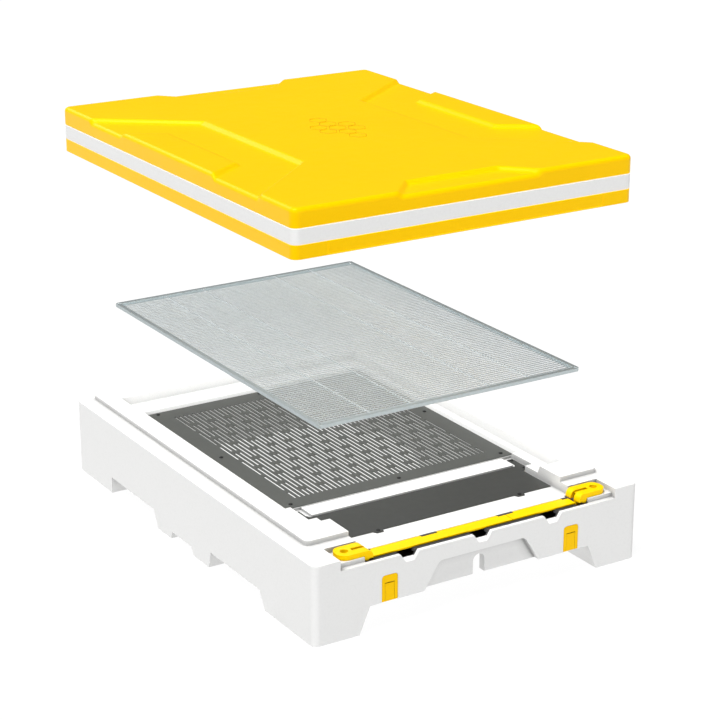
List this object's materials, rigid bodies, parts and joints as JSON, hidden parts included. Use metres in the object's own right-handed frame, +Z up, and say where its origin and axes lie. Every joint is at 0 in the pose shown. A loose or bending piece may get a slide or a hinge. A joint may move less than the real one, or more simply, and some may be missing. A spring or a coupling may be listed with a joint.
{
  "type": "beehive",
  "caption": "Moulded foam beehive shown apart: base with vent grille, entrance gates and cam levers; wire queen excluder; yellow roof with raised relief.",
  "frame": {"origin": "middle of the base's footprint, on the ground", "axes": "+Z up, the entrance and its levers face -Y, the left lever is at -X"},
  "size_m": [0.508, 0.69, 0.553],
  "materials": {
    "white_foam": "matte",
    "yellow_plastic": "satin",
    "dark_plastic": "matte",
    "black_plastic": "satin",
    "galvanised_steel": "satin",
    "black_screw": "satin"
  },
  "bodies": {
    "base": {"base_body": "white_foam", "vent_grille": "dark_plastic", "grille_screw_1": "black_screw", "grille_screw_2": "black_screw", "grille_screw_3": "black_screw", "grille_screw_4": "black_screw", "grille_screw_5": "black_screw", "grille_screw_6": "black_screw", "grille_screw_7": "black_screw", "grille_screw_8": "black_screw", "front_plate": "dark_plastic", "plate_screw_1": "black_screw", "plate_screw_2": "black_screw", "plate_screw_3": "black_screw", "plate_screw_4": "black_screw", "plate_screw_5": "black_screw", "plate_screw_6": "black_screw", "entrance_frame": "black_plastic", "left_gate_pin": "galvanised_steel", "right_gate_pin": "galvanised_steel", "left_lever_bracket": "yellow_plastic", "right_lever_bracket": "yellow_plastic", "left_lever_pin": "galvanised_steel", "right_lever_pin": "galvanised_steel", "left_clip": "yellow_plastic", "right_clip": "yellow_plastic", "left_clip_pin": "galvanised_steel", "right_clip_pin": "galvanised_steel"},
    "left_gate_body": {"left_gate": "yellow_plastic"},
    "right_gate_body": {"right_gate": "yellow_plastic"},
    "left_lever_body": {"left_lever": "yellow_plastic"},
    "right_lever_body": {"right_lever": "yellow_plastic"},
    "left_flap_body": {"left_clip_tab": "yellow_plastic"},
    "right_flap_body": {"right_clip_tab": "yellow_plastic"},
    "excluder": {"excluder_front_rail": "galvanised_steel", "excluder_right_rail": "galvanised_steel", "excluder_back_rail": "galvanised_steel", "excluder_left_rail": "galvanised_steel", "excluder_wires": "galvanised_steel", "excluder_cross_rod_1": "galvanised_steel", "excluder_cross_rod_2": "galvanised_steel", "excluder_cross_rod_3": "galvanised_steel", "excluder_cross_rod_4": "galvanised_steel"},
    "roof": {"roof_cap": "yellow_plastic", "roof_core": "white_foam", "roof_skirt": "yellow_plastic", "roof_front_panel": "yellow_plastic"}
  },
  "joints": [
    {"name": "left_gate_hinge", "type": "hinge", "parent": "base", "child": "left_gate_body", "pos_m": [-0.0515, -0.311, 0.0941], "axis": [-1, 0, 0], "range_deg": [0, 90]},
    {"name": "right_gate_hinge", "type": "hinge", "parent": "base", "child": "right_gate_body", "pos_m": [0.1085, -0.311, 0.0941], "axis": [-1, 0, 0], "range_deg": [0, 90]},
    {"name": "left_lever_pivot", "type": "hinge", "parent": "base", "child": "left_lever_body", "pos_m": [-0.17, -0.32125, 0.0995], "axis": [0, 1, 0], "range_deg": [0, 90]},
    {"name": "right_lever_pivot", "type": "hinge", "parent": "base", "child": "right_lever_body", "pos_m": [0.17, -0.32125, 0.0995], "axis": [0, -1, 0], "range_deg": [0, 90]},
    {"name": "left_flap_hinge", "type": "hinge", "parent": "base", "child": "left_flap_body", "pos_m": [-0.14225, -0.343, 0.0603], "axis": [-1, 0, 0], "range_deg": [0, 60]},
    {"name": "right_flap_hinge", "type": "hinge", "parent": "base", "child": "right_flap_body", "pos_m": [0.14225, -0.343, 0.0603], "axis": [-1, 0, 0], "range_deg": [0, 60]},
    {"name": "excluder_lift", "type": "slide", "parent": "base", "child": "excluder", "axis": [0, 0, 1], "range_m": [-0.1412, 0]},
    {"name": "roof_lift", "type": "slide", "parent": "excluder", "child": "roof", "axis": [0, 0, 1], "range_m": [-0.2395, 0]}
  ]
}
